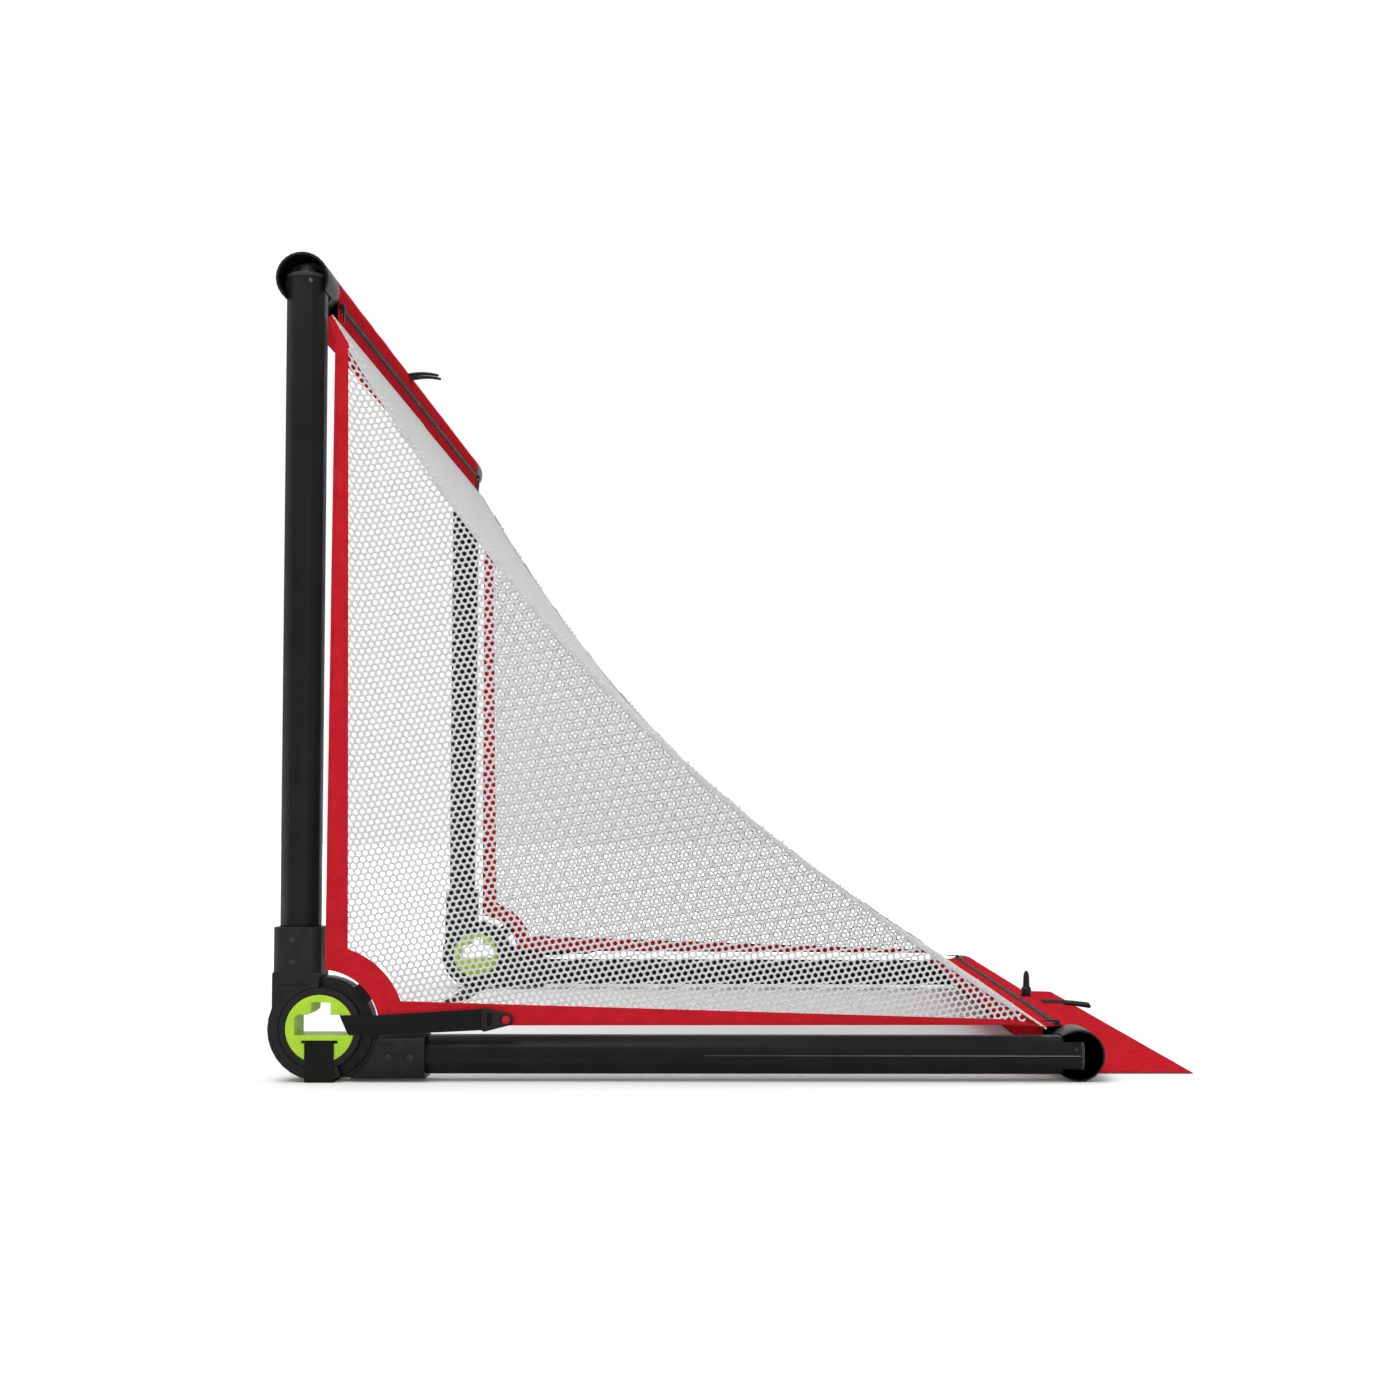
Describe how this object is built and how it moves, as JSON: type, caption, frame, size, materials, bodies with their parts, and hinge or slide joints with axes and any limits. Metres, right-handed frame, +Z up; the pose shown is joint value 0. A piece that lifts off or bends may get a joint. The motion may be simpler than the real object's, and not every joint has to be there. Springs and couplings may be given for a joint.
{
  "type": "telescopic soccer goal",
  "caption": "Folding football goal: L-shaped side frames that fold at round hubs, telescoping crossbar and rear bar, and a net with zipped cloth sleeves and a ground flap.",
  "frame": {"origin": "on the ground under the middle of the whole goal's box", "axes": "+X along the goal's width, to the right for someone in front of the mouth facing the net; +Y from the mouth to the rear bar; +Z up"},
  "size_m": [1.8038, 1.3625, 1.1996],
  "materials": {
    "black_plastic": "satin",
    "black_tube": "satin powder coat",
    "grey_plastic": "gloss",
    "lime_plastic": "satin",
    "red_cloth": "woven",
    "white_net": "knotless knit",
    "black_webbing": "woven webbing",
    "zip_metal": "dark",
    "dark_screws": "black oxide",
    "bright_screws": "zinc"
  },
  "bodies": {
    "left_base": {"left_base_tube": "black_tube", "left_base_cap": "grey_plastic", "left_base_knuckle": "black_plastic", "left_base_knuckle_screws": "dark_screws", "left_hub_core": "lime_plastic", "left_hub_ring": "lime_plastic", "left_rear_corner_shell": "black_plastic", "left_rear_corner_screw": "bright_screws", "rear_outer_tube": "black_tube", "left_rear_cover": "red_cloth", "left_ground_flap": "red_cloth", "left_goal_line_strap": "black_webbing", "left_tension_strap": "black_webbing", "left_tension_buckle": "black_plastic", "left_bottom_border": "red_cloth", "left_side_net": "white_net", "left_back_net": "white_net"},
    "right_base": {"right_base_tube": "black_tube", "right_base_cap": "grey_plastic", "right_base_knuckle": "black_plastic", "right_base_knuckle_screws": "dark_screws", "right_hub_core": "lime_plastic", "right_hub_ring": "lime_plastic", "right_rear_corner_shell": "black_plastic", "right_rear_corner_screw": "bright_screws", "right_rear_cover": "red_cloth", "right_ground_flap": "red_cloth", "right_goal_line_strap": "black_webbing", "right_tension_strap": "black_webbing", "right_tension_buckle": "black_plastic", "right_bottom_border": "red_cloth", "right_side_net": "white_net", "right_back_net": "white_net", "rear_inner_tube": "black_tube", "rear_glide": "black_plastic", "rear_bundle_strap": "black_webbing"},
    "left_post": {"left_post_tube": "black_tube", "left_post_cap": "grey_plastic", "left_post_knuckle": "black_plastic", "left_post_knuckle_screws": "dark_screws", "left_top_corner_shell": "black_plastic", "left_top_corner_screw": "bright_screws", "crossbar_outer_tube": "black_tube", "left_top_cover": "red_cloth", "left_front_border": "red_cloth"},
    "right_post": {"right_post_tube": "black_tube", "right_post_cap": "grey_plastic", "right_post_knuckle": "black_plastic", "right_post_knuckle_screws": "dark_screws", "right_top_corner_shell": "black_plastic", "right_top_corner_screw": "bright_screws", "right_top_cover": "red_cloth", "right_front_border": "red_cloth", "crossbar_inner_tube": "black_tube", "crossbar_glide": "black_plastic", "top_bundle_strap": "black_webbing"},
    "left_top_zip": {"left_top_zip_pull": "zip_metal"},
    "left_rear_zip": {"left_rear_zip_pull": "zip_metal"},
    "right_top_zip": {"right_top_zip_pull": "zip_metal"},
    "right_rear_zip": {"right_rear_zip_pull": "zip_metal"}
  },
  "joints": [
    {"name": "telescope", "type": "slide", "parent": "left_base", "child": "right_base", "axis": [-1, 0, 0], "range_m": [0, 0.75], "deforming": ["left_top_cover", "right_top_cover", "left_rear_cover", "right_rear_cover", "left_ground_flap", "right_ground_flap", "left_goal_line_strap", "right_goal_line_strap", "left_back_net", "right_back_net"]},
    {"name": "left_fold", "type": "hinge", "parent": "left_base", "child": "left_post", "pos_m": [-0.866, -0.60425, 0.0764], "axis": [-1, 0, 0], "range_deg": [0, 88], "deforming": ["left_side_net", "left_front_border", "left_bottom_border", "left_tension_strap"]},
    {"name": "right_fold", "type": "hinge", "parent": "right_base", "child": "right_post", "pos_m": [0.866, -0.60425, 0.0764], "axis": [-1, 0, 0], "range_deg": [0, 88], "deforming": ["right_side_net", "right_front_border", "right_bottom_border", "right_tension_strap"]},
    {"name": "left_top_zip_run", "type": "slide", "parent": "left_post", "child": "left_top_zip", "axis": [1, 0, 0], "range_m": [0, 0.4]},
    {"name": "left_rear_zip_run", "type": "slide", "parent": "left_base", "child": "left_rear_zip", "axis": [1, 0, 0], "range_m": [0, 0.4]},
    {"name": "right_top_zip_run", "type": "slide", "parent": "right_post", "child": "right_top_zip", "axis": [-1, 0, 0], "range_m": [0, 0.4]},
    {"name": "right_rear_zip_run", "type": "slide", "parent": "right_base", "child": "right_rear_zip", "axis": [-1, 0, 0], "range_m": [0, 0.4]}
  ],
  "couplings": [
    {"joint": "right_fold", "follows": "left_fold", "ratio": 1}
  ]
}
